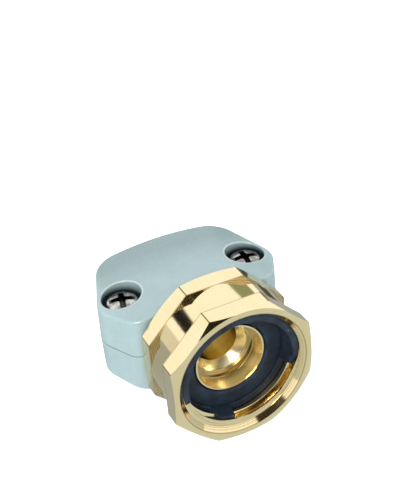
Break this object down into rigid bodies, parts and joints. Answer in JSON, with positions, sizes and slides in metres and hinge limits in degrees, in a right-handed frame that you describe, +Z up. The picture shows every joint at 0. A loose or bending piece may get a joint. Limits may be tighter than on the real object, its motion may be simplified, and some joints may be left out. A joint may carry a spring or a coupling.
{
  "type": "hose repair connector",
  "caption": "Female garden-hose end with an octagonal swivel nut, a barbed brass stem and a screwed split metal clamp, for mending a cut hose.",
  "frame": {"origin": "centre of the washer's sealing face, on the hose axis, where the thread socket ends", "axes": "-Y points out of the threaded mouth and +Y towards the hose; +Z is up, out of the upper clamp half with the screw heads; +X is to the right, seen from the mouth"},
  "size_m": [0.042, 0.042, 0.0318],
  "materials": {
    "nut_brass": "bright machined",
    "stem_brass": "bright machined",
    "washer_rubber": "matte",
    "upper_clamp_zinc": "satin",
    "lower_clamp_zinc": "satin",
    "screw_steel": "bright"
  },
  "bodies": {
    "clamp_base": {"lower_clamp_half": "lower_clamp_zinc", "hose_stem": "stem_brass"},
    "swivel": {"swivel_nut": "nut_brass", "hose_washer": "washer_rubber"},
    "upper_clamp": {"upper_clamp_half": "upper_clamp_zinc"},
    "left_screw": {"left_clamp_screw": "screw_steel"},
    "right_screw": {"right_clamp_screw": "screw_steel"}
  },
  "joints": [
    {"name": "swivel_turn", "type": "hinge", "parent": "clamp_base", "child": "swivel", "pos_m": [0, 0, 0], "axis": [0, 1, 0], "continuous": true},
    {"name": "clamp_lift", "type": "slide", "parent": "clamp_base", "child": "upper_clamp", "axis": [0, 0, 1], "range_m": [0, 0.005]},
    {"name": "left_screw_turn", "type": "hinge", "parent": "upper_clamp", "child": "left_screw", "pos_m": [-0.015, 0.0209, 0], "axis": [0, 0, 1], "range_deg": [0, 2270]},
    {"name": "right_screw_turn", "type": "hinge", "parent": "upper_clamp", "child": "right_screw", "pos_m": [0.015, 0.0209, 0], "axis": [0, 0, 1], "range_deg": [0, 2270]}
  ],
  "couplings": [
    {"joint": "left_screw_turn", "follows": "clamp_lift", "rad_per_m": 7915.8},
    {"joint": "right_screw_turn", "follows": "clamp_lift", "rad_per_m": 7915.8}
  ]
}
